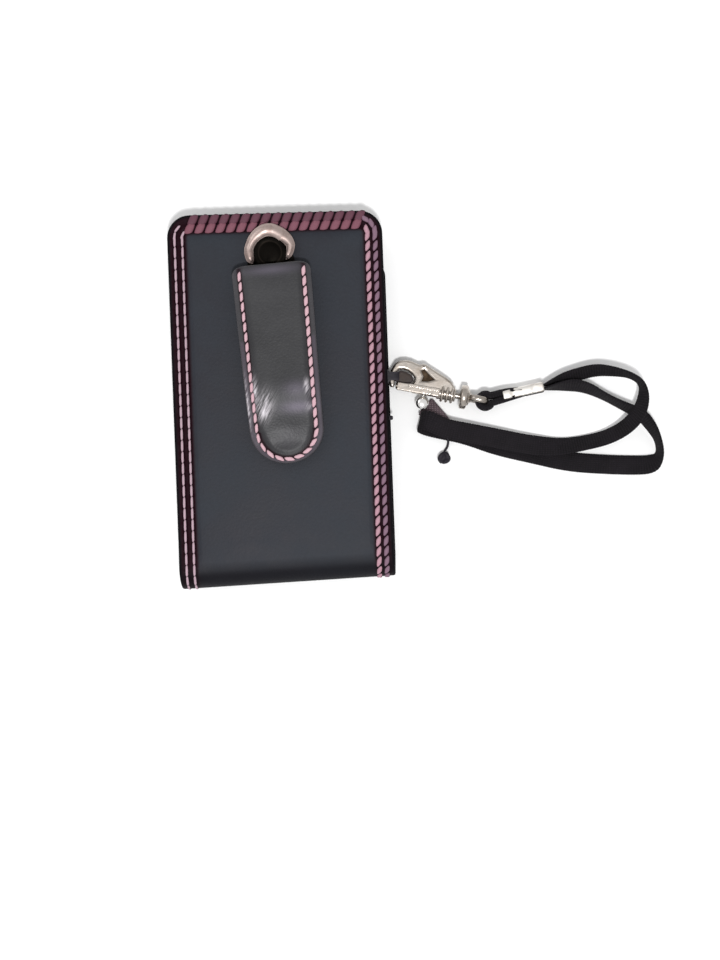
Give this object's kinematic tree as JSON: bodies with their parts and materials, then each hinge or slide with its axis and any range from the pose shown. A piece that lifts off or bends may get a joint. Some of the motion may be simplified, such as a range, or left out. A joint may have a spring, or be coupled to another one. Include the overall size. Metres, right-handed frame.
{
  "type": "lanyard badge holder",
  "caption": "Leather badge pouch with a window, an open-top card pocket, a swivelling sprung belt clip and a wrist lanyard on a bolt snap.",
  "frame": {"origin": "middle of the pouch's front face, on the surface it lies on", "axes": "+Z out of the pouch's back, where the belt clip is; +Y to the pocket's mouth; +X to the side with the lanyard"},
  "size_m": [0.1717, 0.129, 0.0231],
  "materials": {
    "leather": "grained black leather, satin",
    "board": "pressed leather board",
    "lining": "black lining cloth",
    "gusset": "thin black leather",
    "clear": "clear flexible sheet",
    "thread": "thick pink waxed thread",
    "chrome": "bright chrome plate",
    "steel": "spring steel",
    "black_metal": "black enamel",
    "washer": "black nylon",
    "nickel": "nickel-plated casting",
    "webbing": "black woven webbing"
  },
  "bodies": {
    "pouch": {"outer_leather": "leather", "back_board": "board", "back_lining": "lining", "front_board": "board", "front_lining": "lining", "clear_window": "clear", "left_gusset": "gusset", "right_gusset": "gusset", "back_stitching_outer": "thread", "back_stitching_inner": "thread", "front_stitching": "thread", "side_tab": "gusset", "stud_rivet": "steel", "backing_washer": "steel", "friction_washer": "washer", "stud_cap": "black_metal"},
    "clip_base": {"clip_head": "chrome", "hinge_pin": "steel", "torsion_spring": "steel"},
    "clip_tongue": {"tongue_plate": "steel", "tongue_cover": "leather", "tongue_lining": "gusset", "tongue_stitching": "thread"},
    "snap": {"snap_body": "nickel", "bolt_spring": "steel"},
    "bolt": {"spring_bolt": "nickel", "bolt_knob": "nickel"},
    "swivel": {"swivel_eye": "nickel"},
    "lanyard": {"strap_eye_loop": "webbing", "strap_crimp": "nickel", "wrist_strap": "webbing", "strap_ends": "webbing", "knotted_tail": "webbing"}
  },
  "joints": [
    {"name": "clip_swivel", "type": "hinge", "parent": "pouch", "child": "clip_base", "pos_m": [-0.0018, 0.0508, 0.0154], "axis": [0, 0, 1], "continuous": true},
    {"name": "clip_hinge", "type": "hinge", "parent": "clip_base", "child": "clip_tongue", "pos_m": [-0.00121, 0.03881, 0.0177], "axis": [-0.9988, -0.0489, 0], "range_deg": [0, 12], "stiffness_Nm_per_rad": 0.25, "springref_deg": -11.46, "deforming": ["torsion_spring"]},
    {"name": "snap_swing", "type": "hinge", "parent": "pouch", "child": "snap", "pos_m": [0.03895, 0.00703, 0.0046], "axis": [-0.2164, -0.9763, 0], "range_deg": [-75, 50]},
    {"name": "bolt_slide", "type": "slide", "parent": "snap", "child": "bolt", "axis": [0.9763, -0.2164, 0], "range_m": [0, 0.005], "stiffness_N_per_m": 250, "springref_m": -0.003, "deforming": ["bolt_spring"]},
    {"name": "eye_swivel", "type": "hinge", "parent": "snap", "child": "swivel", "pos_m": [0.0638, -0.00145, 0.0046], "axis": [0.9763, -0.2164, 0], "continuous": true},
    {"name": "lanyard_pivot", "type": "hinge", "parent": "swivel", "child": "lanyard", "pos_m": [0.07122, -0.0031, 0.0046], "axis": [0, 0, 1], "range_deg": [0, 40]}
  ]
}
